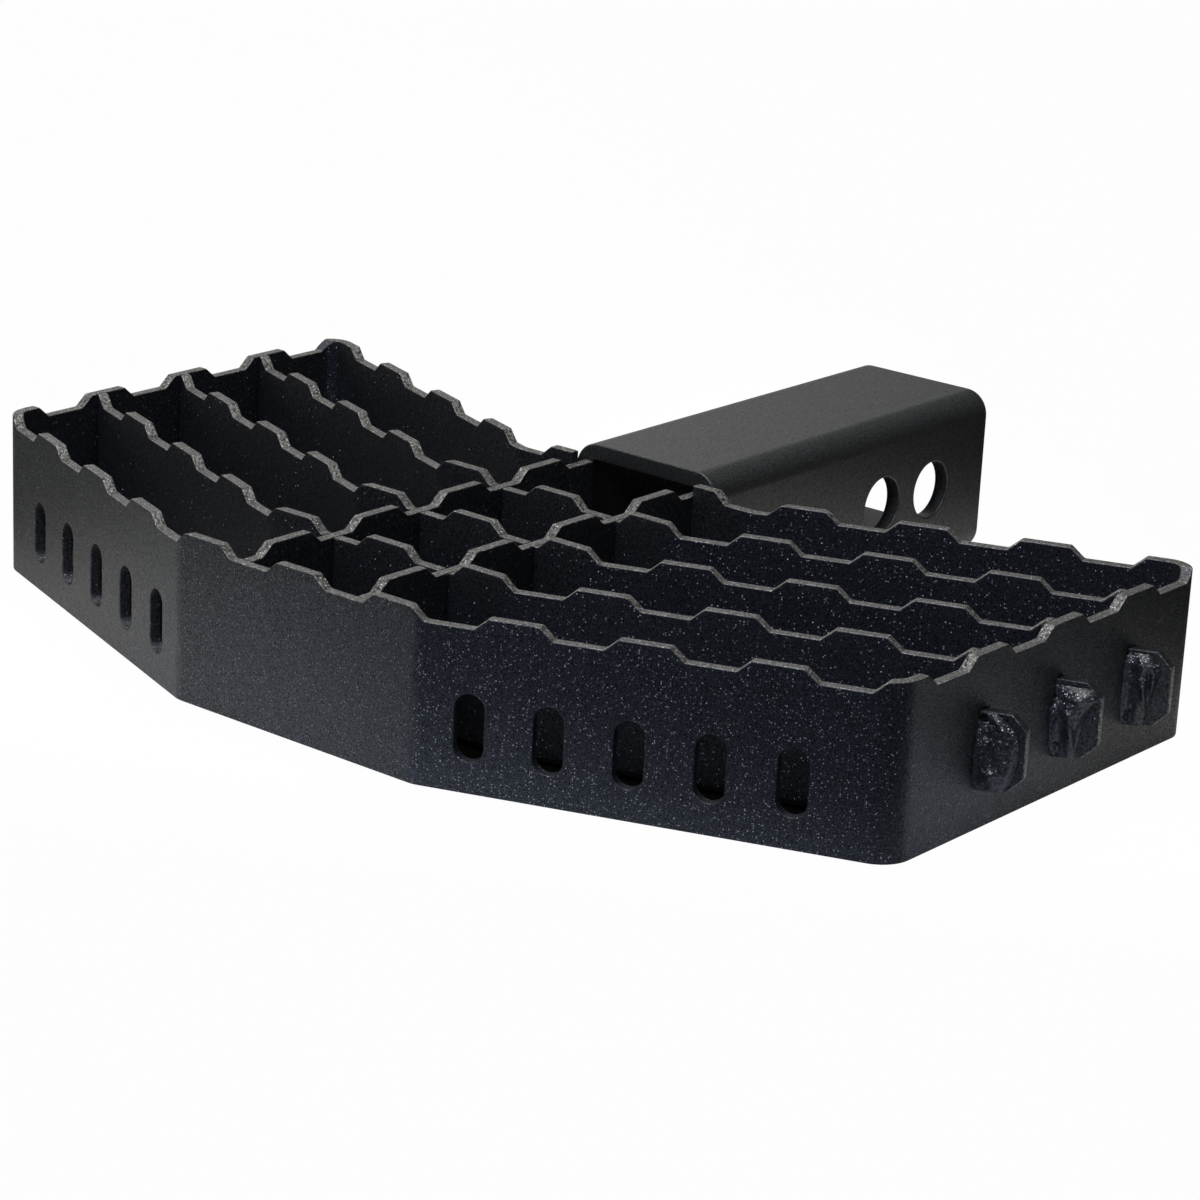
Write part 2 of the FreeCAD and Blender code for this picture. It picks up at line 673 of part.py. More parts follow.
def write_nodes(nodes):
    """Writes each piece to its own file, after a look at its shape."""
    os.makedirs("parts", exist_ok=True)
    for node in nodes:
        shape = node.Shape
        if shape.isNull() or not shape.isValid() or not shape.Solids:
            raise RuntimeError(f"{node.Label} has no sound shape")
    for node in nodes:
        node.Shape.exportStep(f"parts/{node.Label}.step")
        print(node.Label, "solids", len(node.Shape.Solids), "volume", round(node.Shape.Volume, 1))


def main():
    """Models every piece, then writes them all."""
    nodes = [make_outer_frame()]
    nodes += make_bars()
    nodes += make_ribs()
    nodes.append(make_shank())
    nodes += make_tab_welds()
    nodes += make_shank_welds()
    doc.recompute()
    check_document()
    write_nodes(nodes)


main()
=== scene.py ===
"""Looks of a hitch receiver step: powder-coated steel lattice, square shank and weld beads.

Everything is in metres in the part's own frame: the origin is in the middle of the rear hitch pin
hole, +X is the step's right-hand side, +Y runs towards the vehicle and +Z is up.
"""

import logging
import math
from dataclasses import dataclass, field
from enum import Enum

import bmesh
import bpy
from mathutils import Matrix, Vector, noise


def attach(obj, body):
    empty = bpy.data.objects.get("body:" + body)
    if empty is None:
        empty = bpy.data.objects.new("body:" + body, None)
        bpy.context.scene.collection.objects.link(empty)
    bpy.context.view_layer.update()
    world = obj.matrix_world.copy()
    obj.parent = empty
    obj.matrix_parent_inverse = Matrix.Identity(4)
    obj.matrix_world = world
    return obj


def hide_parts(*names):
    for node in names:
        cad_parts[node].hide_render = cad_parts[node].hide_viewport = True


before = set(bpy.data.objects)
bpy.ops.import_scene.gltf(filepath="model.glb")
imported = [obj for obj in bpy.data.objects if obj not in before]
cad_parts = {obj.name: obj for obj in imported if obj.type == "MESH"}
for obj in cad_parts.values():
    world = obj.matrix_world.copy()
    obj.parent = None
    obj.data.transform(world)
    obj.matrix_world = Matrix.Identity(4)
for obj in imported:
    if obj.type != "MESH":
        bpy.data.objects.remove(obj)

LOG = logging.getLogger("hitch_step")
MM = 0.001
WHITE = (1.0, 1.0, 1.0, 1.0)

# The wings sweep back by this angle from the front bends, and the tabs follow them
WING_ANGLE = math.radians(20.4)
WING_WAY = Vector((math.cos(WING_ANGLE), math.sin(WING_ANGLE), 0.0))
LEFT_WING_WAY = Vector((-WING_WAY.x, WING_WAY.y, 0.0))
BEND_ASIDE = 42.3 * MM

# How upright, level or endwise a face is, as the share of its normal that points that way
UPRIGHT_BELOW = 0.45
LEVEL_ABOVE = 0.96
ENDWISE_ABOVE = 0.8
# Rear-corner flanks steeper than this get the plain coat, not the flanks' painted highlight
PLAIN_CORNER_BELOW = 0.8
# Faces turned right between these shares meet the lamp: painted glints; the rest, painted shade
LIGHT_FACING_FROM, LIGHT_FACING_TO = 0.12, 0.85

# The gap at which a CAD node's faces are joined, and the turns between faces up to which they are
# flat, past which their edge is eased, and past which it is shaded sharp
SEAM_GAP = 0.005 * MM
FLAT_TURN = math.radians(0.5)
EASED_TURN = math.radians(33.0)
SMOOTH_TURN = math.radians(34.0)

# Octaves of the coat's noises, and how strong the grain's finer octaves are
GRAIN_DETAIL, PEEL_DETAIL = 2.0, 1.0
GRAIN_EDGE = 0.7
# Where a noise's values mostly lie, and how much further a coat's tone lightens than darkens
NOISE_LOW, NOISE_HIGH = 0.33, 0.67
TONE_LIFT = 1.3
# Sheen for each share of tone, and a speck's roughness as a share of the skin's
SHEEN_SHARE = 0.5
SPECK_POLISH = 0.5
# Where a speck starts to fade and ends, from its middle, in cells
SPECK_FULL, SPECK_END = 0.2, 0.45
# Share of up in a normal at which the specks that need it appear and are all there
UP_FROM, UP_TO = 0.05, 0.5
COAT_IOR = 1.5

# A bead's skin: how rounded its crown is, and how soon it grows uneven away from the toes and,
# with the crown in millimetres, away from the ends
CROWN_POWER = 1.25
UNEVEN_RISE = 3.0
UNEVEN_CROWN = 0.6
# Its lumps: noise cells across the bead and for each millimetre of height, the scales of the
# coarse and the fine ones, and the fine ones' height as a share of the coarse ones'
CELLS_ACROSS, CELLS_UP = 3.0, 0.35
LUMP_SCALE, FINE_SCALE, FINE_SHARE = 1.3, 4.1, 0.4
FINE_SHIFT = Vector((9.0, 0.0, 0.0))
# The ripples that the moving torch left: their pitch in millimetres and how far they bow
RIPPLE_PITCH, RIPPLE_BOW = 1.7, 2.2


class Side(Enum):
    """One half of the step, with the sign of its X."""

    RIGHT = 1
    LEFT = -1


class StripFace(Enum):
    """How a face of a strip was made, with the number of its material."""

    MILL = 0
    CUT = 1
    SLOPE = 2
    SIDE = 3
    RECESS = 4
    CELL = 5


def linear_colour(hex_colour: str) -> tuple[float, float, float, float]:
    """Turns an sRGB hex value into a linear colour.

    Args:
        hex_colour: Six hex digits, with or without a leading hash.

    Returns:
        Linear red, green and blue, and an alpha of one.
    """
    digits = hex_colour.lstrip("#")
    channels = []
    # The sRGB curve is straight near black and a power above
    for start in (0, 2, 4):
        value = int(digits[start:start + 2], 16) / 255.0
        channels.append(value / 12.92 if value <= 0.04045 else ((value + 0.055) / 1.055) ** 2.4)
    return channels[0], channels[1], channels[2], 1.0


def add_node(tree: bpy.types.NodeTree, kind: str, inputs: dict[str | int, object] | None = None,
             **settings: object) -> bpy.types.Node:
    """Adds a node, sets its properties and fills or links its inputs.

    Args:
        tree: The node tree that gets the node.
        kind: The node's type name.
        inputs: Socket name or number to a value, or to an output socket to link from.
        **settings: Properties of the node itself.

    Returns:
        The new node.
    """
    node = tree.nodes.new(kind)
    for name, value in settings.items():
        setattr(node, name, value)
    for socket, value in (inputs or {}).items():
        if isinstance(value, bpy.types.NodeSocket):
            tree.links.new(value, node.inputs[socket])
        else:
            node.inputs[socket].default_value = value
    return node


def per_metre(size_mm: float) -> float:
    """Returns the texture scale at which one cell or grain has the given size."""
    return 1.0 / (size_mm * MM)


@dataclass(frozen=True)
class PowderCoat:
    """Polyester powder coat, sprayed dry and baked: a satin skin with orange peel and flecks.

    Attributes:
        name: Material name.
        base: Colour of the coat.
        fleck: Colour of the specks, pale to paint the glints that they would catch.
        roughness: Roughness of the skin between its specks.
        grain_mm: Width of the fine texture.
        grain_depth_mm: Height of the fine texture.
        peel_mm: Width of the soft orange peel.
        peel_depth_mm: Height of the orange peel.
        fleck_mm: Spacing of the specks.
        fleck_share: Share of the cells that hold a speck.
        fleck_tilt: How far a speck's own facet leans.
        glint_power: How rare the brightest painted glints are among the dimmer ones.
        mottle: How far the tone drifts from grain to grain, as a share.
        upward: Share of the specks that show only on faces that look up, painted highlights.
    """

    name: str
    base: str
    fleck: str
    roughness: float
    grain_mm: float
    grain_depth_mm: float
    peel_mm: float
    peel_depth_mm: float
    fleck_mm: float
    fleck_share: float
    fleck_tilt: float
    glint_power: float
    mottle: float
    upward: float = 0.0

    def material(self) -> bpy.types.Material:
        """Builds the coat's material once and returns it."""
        known = bpy.data.materials.get(self.name)
        if known is not None:
            return known
        made = bpy.data.materials.new(self.name)
        made.use_nodes = True
        tree = made.node_tree
        tree.nodes.clear()
        place = add_node(tree, "ShaderNodeTexCoord").outputs["Object"]
        grain = add_node(tree, "ShaderNodeTexNoise",
                         {"Vector": place, "Scale": per_metre(self.grain_mm),
                          "Detail": GRAIN_DETAIL, "Roughness": GRAIN_EDGE})
        peel = add_node(tree, "ShaderNodeTexNoise",
                        {"Vector": place, "Scale": per_metre(self.peel_mm),
                         "Detail": PEEL_DETAIL})
        cells = add_node(tree, "ShaderNodeTexVoronoi",
                         {"Vector": place, "Scale": per_metre(self.fleck_mm)}, feature="F1")
        cell_values = add_node(tree, "ShaderNodeSeparateColor", {"Color": cells.outputs["Color"]})
        chosen = add_node(tree, "ShaderNodeMath",
                          {0: cell_values.outputs["Red"], 1: 1.0 - self.fleck_share},
                          operation="GREATER_THAN")
        core = add_node(tree, "ShaderNodeMapRange",
                        {"Value": cells.outputs["Distance"], "From Min": SPECK_FULL,
                         "From Max": SPECK_END, "To Min": 1.0, "To Max": 0.0})
        height = add_node(tree, "ShaderNodeSeparateXYZ",
                          {"Vector": add_node(tree, "ShaderNodeNewGeometry").outputs["Normal"]})
        # Painted highlight: where asked, the specks show only on faces that look up, to the
        # overhead light
        facing_up = add_node(tree, "ShaderNodeMapRange",
                             {"Value": height.outputs["Z"], "From Min": UP_FROM,
                              "From Max": UP_TO, "To Min": 1.0 - self.upward, "To Max": 1.0})
        shown = add_node(tree, "ShaderNodeMath",
                         {0: chosen.outputs[0], 1: facing_up.outputs["Result"]},
                         operation="MULTIPLY")
        speck = add_node(tree, "ShaderNodeMath",
                         {0: shown.outputs[0], 1: core.outputs["Result"]}, operation="MULTIPLY")
        # Painted glints: by their cell's random value a few specks get the full pale colour, the
        # rest less
        glint = add_node(tree, "ShaderNodeMath",
                         {0: cell_values.outputs["Green"], 1: self.glint_power}, operation="POWER")
        strength = add_node(tree, "ShaderNodeMath",
                            {0: speck.outputs[0], 1: glint.outputs[0]}, operation="MULTIPLY")
        # The coat is slightly thinner on the crests of its grain, so its tone drifts a little
        tone = add_node(tree, "ShaderNodeMapRange",
                        {"Value": grain.outputs["Fac"], "From Min": NOISE_LOW,
                         "From Max": NOISE_HIGH, "To Min": 1.0 - self.mottle,
                         "To Max": 1.0 + TONE_LIFT * self.mottle})
        base = add_node(tree, "ShaderNodeVectorMath",
                        {0: linear_colour(self.base)[:3], "Scale": tone.outputs["Result"]},
                        operation="SCALE")
        colour = add_node(tree, "ShaderNodeMix",
                          {"Factor": strength.outputs[0], 6: base.outputs[0],
                           7: linear_colour(self.fleck)}, data_type="RGBA")
        sheen = add_node(tree, "ShaderNodeMath", {0: tone.outputs["Result"], 1: SHEEN_SHARE},
                         operation="MULTIPLY")
        low_bump = add_node(tree, "ShaderNodeBump",
                            {"Height": peel.outputs["Fac"], "Distance": self.peel_depth_mm * MM,
                             "Strength": 1.0})
        bump = add_node(tree, "ShaderNodeBump",
                        {"Height": grain.outputs["Fac"], "Distance": self.grain_depth_mm * MM,
                         "Strength": 1.0, "Normal": low_bump.outputs["Normal"]})
        # A speck's facet leans as its cell's random colour lies round the middle grey
        lean = add_node(tree, "ShaderNodeVectorMath",
                        {0: cells.outputs["Color"], 1: (0.5, 0.5, 0.5)}, operation="SUBTRACT")
        amount = add_node(tree, "ShaderNodeMath",
                          {0: speck.outputs[0], 1: self.fleck_tilt}, operation="MULTIPLY")
        facet = add_node(tree, "ShaderNodeVectorMath",
                         {0: lean.outputs[0], "Scale": amount.outputs[0]}, operation="SCALE")
        leaned = add_node(tree, "ShaderNodeVectorMath",
                          {0: bump.outputs["Normal"], 1: facet.outputs[0]}, operation="ADD")
        normal = add_node(tree, "ShaderNodeVectorMath", {0: leaned.outputs[0]},
                          operation="NORMALIZE")
        shine = add_node(tree, "ShaderNodeMapRange",
                         {"Value": speck.outputs[0], "To Min": self.roughness,
                          "To Max": self.roughness * SPECK_POLISH})
        skin = add_node(tree, "ShaderNodeBsdfPrincipled",
                        {"Base Color": colour.outputs[2], "Roughness": shine.outputs["Result"],
                         "IOR": COAT_IOR, "Specular IOR Level": sheen.outputs[0],
                         "Normal": normal.outputs[0]})
        add_node(tree, "ShaderNodeOutputMaterial", {"Surface": skin.outputs["BSDF"]})
        return made


# The real texture and specks are a tenth or two of a millimetre wide. They are drawn two to four
# times as coarse, so that the render shows them.

# Textured black powder coat over mill-finish strip, lit copy: bluish black, grainy, bright specks
# Its bluer tone and bright specks are painted light, for outer faces turned to the front lamp
LIT_STRIP_COAT = PowderCoat(
    name="textured_powder_coat_lit_strip", base="1c1f26", fleck="f6f8ff", roughness=0.38,
    grain_mm=0.38, grain_depth_mm=0.14, peel_mm=2.2, peel_depth_mm=0.12,
    fleck_mm=0.44, fleck_share=0.2, fleck_tilt=1.6, glint_power=1.3, mottle=0.75)

# The same coat on outer faces turned from the lamp, finer and nearly without specks: painted shade
SHADED_SIDE_COAT = PowderCoat(
    name="textured_powder_coat_side", base="1c1f20", fleck="b6b9ba", roughness=0.4,
    grain_mm=0.42, grain_depth_mm=0.2, peel_mm=2.2, peel_depth_mm=0.12,
    fleck_mm=0.44, fleck_share=0.14, fleck_tilt=1.4, glint_power=2.0, mottle=0.75)

# The coat on cell walls turned to the lamp: painted shade, dark, with few but bright painted
# glints
CELL_SHADE_COAT = PowderCoat(
    name="textured_powder_coat_cell_shade", base="191c23", fleck="fafcff", roughness=0.42,
    grain_mm=0.5, grain_depth_mm=0.12, peel_mm=2.2, peel_depth_mm=0.12,
    fleck_mm=0.5, fleck_share=0.1, fleck_tilt=1.6, glint_power=0.9, mottle=0.6)

# The coat in recesses and on the tabs beside the weld beads: painted shade, darker and smoother
RECESS_SHADE_COAT = PowderCoat(
    name="textured_powder_coat_recess", base="13161a", fleck="dfe3ec", roughness=0.5,
    grain_mm=0.6, grain_depth_mm=0.12, peel_mm=1.8, peel_depth_mm=0.12,
    fleck_mm=0.5, fleck_share=0.03, fleck_tilt=1.2, glint_power=2.0, mottle=0.6)

# The coat over the level laser-cut tops, on a striated kerf: paler, a painted highlight from above
CUT_EDGE_HIGHLIGHT_COAT = PowderCoat(
    name="textured_powder_coat_cut_edge", base="3d3c3a", fleck="fbf8f1", roughness=0.45,
    grain_mm=0.5, grain_depth_mm=0.16, peel_mm=1.6, peel_depth_mm=0.08,
    fleck_mm=0.45, fleck_share=0.42, fleck_tilt=1.6, glint_power=1.2, mottle=0.75)

# The coat over tooth flanks, eased edges and tab ends: deep striations; paler glitter, painted
# highlight
FLANK_HIGHLIGHT_COAT = PowderCoat(
    name="textured_powder_coat_tooth_flank", base="4a4946", fleck="f2f0ea", roughness=0.35,
    grain_mm=0.9, grain_depth_mm=0.25, peel_mm=1.6, peel_depth_mm=0.1,
    fleck_mm=0.6, fleck_share=0.55, fleck_tilt=1.6, glint_power=1.6, mottle=0.85)

# Smooth satin black powder coat over cold-drawn square tube: even and almost without sparkle
TUBE_COAT = PowderCoat(
    name="satin_powder_coat_tube", base="262727", fleck="55575a", roughness=0.38,
    grain_mm=0.6, grain_depth_mm=0.07, peel_mm=1.5, peel_depth_mm=0.05,
    fleck_mm=0.5, fleck_share=0.05, fleck_tilt=0.4, glint_power=2.0, mottle=0.45)

# Black powder coat flowed over a weld bead: glossier, with painted glints on its up-facing crown
BEAD_COAT = PowderCoat(
    name="glossy_powder_coat_bead", base="1e2126", fleck="ffffff", roughness=0.36,
    grain_mm=0.6, grain_depth_mm=0.14, peel_mm=1.8, peel_depth_mm=0.12,
    fleck_mm=0.6, fleck_share=0.6, fleck_tilt=2.0, glint_power=0.9, mottle=0.5, upward=0.95)


def eased_copy(node: str, ease: float, segments: int = 2) -> bpy.types.Object:
    """Copies a CAD node and eases its sharp edges, as blasting and the baked coat leave them.

    Args:
        node: Name of the CAD node.
        ease: Width of the eased edge in metres.
        segments: Steps across an eased edge.

    Returns:
        A new object that rides on the root and replaces the node.
    """
    shell = bmesh.new()
    shell.from_mesh(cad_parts[node].data)
    bmesh.ops.remove_doubles(shell, verts=shell.verts, dist=SEAM_GAP)
    bmesh.ops.dissolve_limit(shell, angle_limit=FLAT_TURN, verts=shell.verts, edges=shell.edges)
    sharp = [edge for edge in shell.edges
             if edge.is_manifold and edge.calc_face_angle() > EASED_TURN]
    bmesh.ops.bevel(shell, geom=sharp, offset=ease, offset_type="OFFSET", segments=segments,
                    profile=0.5, affect="EDGES", clamp_overlap=False, material=-1)
    bmesh.ops.triangulate(shell, faces=shell.faces)
    mesh = bpy.data.meshes.new(f"{node}_coated")
    shell.to_mesh(mesh)
    shell.free()
    mesh.polygons.foreach_set("use_smooth", [True] * len(mesh.polygons))
    mesh.set_sharp_from_angle(angle=SMOOTH_TURN)
    piece = bpy.data.objects.new(f"{node}_coated", mesh)
    bpy.context.scene.collection.objects.link(piece)
    even = piece.modifiers.new("flat_faces", "WEIGHTED_NORMAL")
    even.keep_sharp = True
    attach(piece, "root")
    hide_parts(node)
    return piece


@dataclass
class TreadLattice:
    """The serrated lattice: outer frame, three cross bars and two ribs.

    Attributes:
        ease: Width of the eased edges.
        tabs_aside: Distance from the middle past which only tabs stand.
        plates_aside: Distance from the middle past which a face is an end plate's outer one.
        front_depth: Y of the front strip's outer face at the middle, less its eased edge.
        rear_depth: Y of the rear strip's outer face there, less its eased edge.
        teeth_foot: Z above which the teeth start.
        corners_aside: Distance from the middle past which a flank is in a corner.
        corners_depth: Y past which that corner is a rear one.
        nodes: The CAD nodes of the lattice.
    """

    ease: float = 0.35 * MM
    tabs_aside: float = 159.5 * MM
    plates_aside: float = 159.0 * MM
    front_depth: float = -249.0 * MM
    rear_depth: float = -111.6 * MM
    teeth_foot: float = 15.0 * MM
    corners_aside: float = 150.0 * MM
    corners_depth: float = -79.0 * MM
    nodes: tuple[str, ...] = ("outer_frame", "cross_bar_front", "cross_bar_middle",
                              "cross_bar_rear", "rib_left", "rib_right")

    def build(self) -> list[bpy.types.Object]:
        """Makes the coated strips.

        Returns:
            One piece for each strip.
        """
        strips = []
        for node in self.nodes:
            strip = eased_copy(node, self.ease)
            self.dress(strip)
            strips.append(strip)
        return strips

    def dress(self, strip: bpy.types.Object) -> None:
        """Gives each face of a strip its coat, with light and shade painted by the way it turns.
        """
        strip.data.materials.clear()
        for coat in (LIT_STRIP_COAT, CUT_EDGE_HIGHLIGHT_COAT, FLANK_HIGHLIGHT_COAT, SHADED_SIDE_COAT, RECESS_SHADE_COAT, CELL_SHADE_COAT):
            strip.data.materials.append(coat.material())
        for face in strip.data.polygons:
            face.material_index = self.face_kind(face.center, face.normal).value

    def face_kind(self, centre: Vector, normal: Vector) -> StripFace:
        """Tells which coat a face of a strip gets, with its painted light or shade.

        Args:
            centre: The face's middle.
            normal: The face's own normal.

        Returns:
            CUT for a tooth's crest and valley, painted paler as lit from above, and SLOPE
            for its flanks, the eased edges of its crest and a tab's end, painted as highlights.
            Broad faces turned to the right, to the lamp, are MILL outside, with painted glints,
            and CELL inside, darker; others are SIDE outside and RECESS inside and on a tab, in
            painted shade.
        """
        aside = abs(centre.x)
        if aside > self.tabs_aside:
            along_wing = max(abs(normal.dot(WING_WAY)), abs(normal.dot(LEFT_WING_WAY)))
            return StripFace.SLOPE if along_wing > ENDWISE_ABOVE else StripFace.RECESS
        if centre.z < self.teeth_foot or normal.z < UPRIGHT_BELOW:
            swept = centre.y - math.tan(WING_ANGLE) * max(aside - BEND_ASIDE, 0.0)
            inside = self.front_depth < swept < self.rear_depth and aside <= self.plates_aside
            if LIGHT_FACING_FROM <= normal.x <= LIGHT_FACING_TO:
                return StripFace.CELL if inside else StripFace.MILL
            return StripFace.RECESS if inside else StripFace.SIDE
        if normal.z > LEVEL_ABOVE:
            return StripFace.CUT
        # The flank in each rear corner gets the plain coat, not the other flanks' painted
        # highlight
        in_rear_corner = aside > self.corners_aside and centre.y > self.corners_depth
        return StripFace.MILL if in_rear_corner and normal.z < PLAIN_CORNER_BELOW else StripFace.SLOPE


@dataclass
class Shank:
    """The square tube that slides into the receiver.

    Attributes:
        ease: Width of its eased edges, left by deburring.
    """

    ease: float = 0.5 * MM

    def build(self) -> list[bpy.types.Object]:
        """Makes the coated tube."""
        tube = eased_copy("shank", self.ease)
        tube.data.materials.clear()
        tube.data.materials.append(TUBE_COAT.material())
        return [tube]


@dataclass(frozen=True)
class BeadRow:
    """One level of a weld bead, in millimetres.

    Attributes:
        height: Height above the bead's lower end.
        plate_leg: Reach along the plate.
        tab_leg: Reach along the tab.
        crown: Rise of the skin over its chord.
    """

    height: float
    plate_leg: float
    tab_leg: float
    crown: float


@dataclass(frozen=True)
class Swell:
    """A smooth rise or hollow that the torch left in a bead's skin.

    Attributes:
        across: Share of the way from the plate's toe to the tab's.
        height: Height of its middle above the bead's lower end, in millimetres.
        width: Half width, as a share of the bead's.
        tall: Half height in millimetres.
        rise: How far it stands out in millimetres, negative for a hollow.
        lean: Shift across for each millimetre of height.
    """

    across: float
    height: float
    width: float
    tall: float
    rise: float
    lean: float = 0.0

    def at(self, across: float, height: float) -> float:
        """Returns the rise at a place of the skin, in millimetres."""
        up = height - self.height
        aside = (across - self.across - self.lean * up) / self.width
        return self.rise * math.exp(-aside * aside - (up / self.tall) ** 2)


@dataclass
class WeldBead:
    """A fillet bead in the corner between two upright faces, uneven as the puddle froze.

    Attributes:
        node: The CAD node that it stands for.
        corner: The corner's foot.
        plate_way: Way along the plate, away from the corner.
        tab_way: Way along the tab, away from the corner.
        rows: Levels from the lower end to the upper.
        swells: Rises and hollows of the skin.
        seed: Shifts the lumps, so that no two beads are alike.
        ripple: Height of the ripples in millimetres.
        lump: Height of the lumps in millimetres.
        skew: Over one, the crown stands nearer the tab.
        across: Steps of the skin from the plate to the tab.
        along: Steps of the skin from the lower end to the upper.
    """

    node: str
    corner: Vector
    plate_way: Vector
    tab_way: Vector
    rows: tuple[BeadRow, ...]
    swells: tuple[Swell, ...]
    seed: float
    ripple: float = 0.05
    lump: float = 0.4
    skew: float = 1.35
    across: int = 36
    along: int = 84

    def level(self, share: float) -> BeadRow:
        """Returns the row at a share of the way through the table, evenly blended."""
        place = share * (len(self.rows) - 1)
        index = min(int(place), len(self.rows) - 2)
        blend = place - index
        low, high = self.rows[index], self.rows[index + 1]
        return BeadRow(*(a + (b - a) * blend for a, b in zip(
            (low.height, low.plate_leg, low.tab_leg, low.crown),
            (high.height, high.plate_leg, high.tab_leg, high.crown))))

    def skin_point(self, across: float, along: float) -> Vector:
        """Returns a point of the skin.

        Args:
            across: Share of the way from the plate's toe to the tab's.
            along: Share of the way from the lower end to the upper.

        Returns:
            The point in metres.
        """
        row = self.level(along)
        start = self.corner + self.plate_way * row.plate_leg * MM
        end = self.corner + self.tab_way * row.tab_leg * MM
        chord = end - start
        outwards = Vector((chord.y, -chord.x, 0.0)).normalized()
        if outwards.dot(self.plate_way + self.tab_way) < 0.0:
            outwards.negate()
        # The skin leaves the plate softly and stands up steeper on the tab
        bow = math.sin(math.pi * across ** self.skew) ** CROWN_POWER
        # The toes and ends lie smooth on the steel
        scale = min(1.0, row.crown / UNEVEN_CROWN) * min(1.0, UNEVEN_RISE * bow)
        where = Vector((across * CELLS_ACROSS, row.height * CELLS_UP, self.seed))
        lumps = noise.noise(where * LUMP_SCALE) * self.lump
        fine = noise.noise(where * FINE_SCALE + FINE_SHIFT) * self.lump * FINE_SHARE
        turn = row.height * math.tau / RIPPLE_PITCH + RIPPLE_BOW * bow + self.seed
        ripple = math.sin(turn) * self.ripple
        swell = sum(item.at(across, row.height) for item in self.swells)
        rise = row.crown * bow + (lumps + fine + ripple + swell) * scale
        point = start + chord * across + outwards * rise * MM
        point.z += row.height * MM
        return point

    def build(self) -> bpy.types.Object:
        """Makes the bead, closed behind by a face hidden in the corner.

        Returns:
            The coated bead.
        """
        skin = bmesh.new()
        bmesh.ops.create_grid(skin, x_segments=self.across, y_segments=self.along, size=0.5)
        for vert in skin.verts:
            vert.co = self.skin_point(vert.co.x + 0.5, vert.co.y + 0.5)
        open_edges = [edge for edge in skin.edges if edge.is_boundary]
        bmesh.ops.holes_fill(skin, edges=open_edges, sides=0)
        bmesh.ops.triangulate(skin, faces=skin.faces)
        bmesh.ops.recalc_face_normals(skin, faces=skin.faces)
        mesh = bpy.data.meshes.new(f"{self.node}_bead")
        skin.to_mesh(mesh)
        skin.free()
        mesh.polygons.foreach_set("use_smooth", [True] * len(mesh.polygons))
        bead = bpy.data.objects.new(f"{self.node}_bead", mesh)
        bpy.context.scene.collection.objects.link(bead)
        mesh.materials.append(BEAD_COAT.material())
        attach(bead, "root")
        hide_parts(self.node)
        return bead


# The three tab beads, lower end first: tall and even, top-heavy, and cleft
TAB_BEAD_ROWS = (
    (BeadRow(-0.4, 0.3, 5.5, 0.0), BeadRow(0.3, 1.2, 7.0, 0.6), BeadRow(2.5, 2.0, 8.6, 1.4),
     BeadRow(6.0, 2.2, 9.8, 1.9), BeadRow(10.0, 2.2, 10.3, 2.0), BeadRow(13.5, 1.8, 10.2, 2.0),
     BeadRow(15.8, 1.2, 9.4, 1.9), BeadRow(17.6, 0.8, 7.6, 1.4), BeadRow(19.2, 0.5, 5.2, 0.7),
     BeadRow(20.2, 0.3, 3.6, 0.0)),
    (BeadRow(-0.4, 0.3, 4.5, 0.0), BeadRow(0.3, 1.0, 6.0, 0.6), BeadRow(3.0, 1.6, 6.6, 1.2),
     BeadRow(6.0, 2.0, 7.0, 1.5), BeadRow(9.0, 2.2, 7.4, 1.7), BeadRow(12.0, 2.2, 8.2, 1.9),
     BeadRow(14.5, 1.4, 9.8, 2.2), BeadRow(16.3, 0.8, 11.2, 2.6), BeadRow(17.3, 0.6, 10.9, 1.7),
     BeadRow(18.2, 0.4, 10.0, 0.7), BeadRow(18.9, 0.2, 8.6, 0.0)),
    (BeadRow(-0.4, 0.3, 4.0, 0.0), BeadRow(0.3, 1.0, 5.4, 0.6), BeadRow(3.0, 1.5, 6.0, 1.1),
     BeadRow(6.0, 1.8, 6.6, 1.5), BeadRow(9.0, 2.0, 7.4, 1.8), BeadRow(12.0, 2.0, 8.2, 2.0),
     BeadRow(15.0, 1.8, 8.8, 2.2), BeadRow(17.0, 1.4, 8.4, 2.0), BeadRow(18.4, 0.9, 7.2, 1.3),
     BeadRow(19.6, 0.3, 5.6, 0.0)))
TAB_BEAD_SWELLS = (
    (Swell(0.25, 17.5, 0.3, 3.5, -0.4), Swell(0.78, 17.3, 0.2, 2.8, 0.9),
     Swell(0.4, 4.4, 0.3, 2.4, 0.9), Swell(0.82, 8.5, 0.1, 5.5, 0.8)),
    (Swell(0.6, 8.5, 0.12, 5.5, 1.2, -0.035), Swell(0.82, 12.0, 0.1, 3.5, 0.8, 0.02),
     Swell(0.35, 3.6, 0.26, 2.8, -0.8), Swell(0.2, 16.5, 0.2, 2.5, -0.4)),
    (Swell(0.64, 9.8, 0.1, 5.0, 1.3, -0.045), Swell(0.87, 11.5, 0.08, 4.5, 1.1, -0.012),
     Swell(0.74, 12.5, 0.07, 3.8, -1.5, -0.025), Swell(0.25, 13.0, 0.18, 6.0, -0.5),
     Swell(0.35, 3.6, 0.28, 3.0, -0.7), Swell(0.68, 17.2, 0.3, 2.2, 0.8)))

# The beads at the shank are long and even, with closed ends
SHANK_BEAD_ROWS = (
    BeadRow(-0.6, 0.4, 3.6, 0.0), BeadRow(0.0, 4.4, 7.6, 0.6),
    *(BeadRow(2.0 + 3.0 * step, 6.0, 9.2, 1.0) for step in range(11)),
    BeadRow(34.0, 4.4, 7.6, 0.6), BeadRow(34.6, 0.4, 3.6, 0.0))


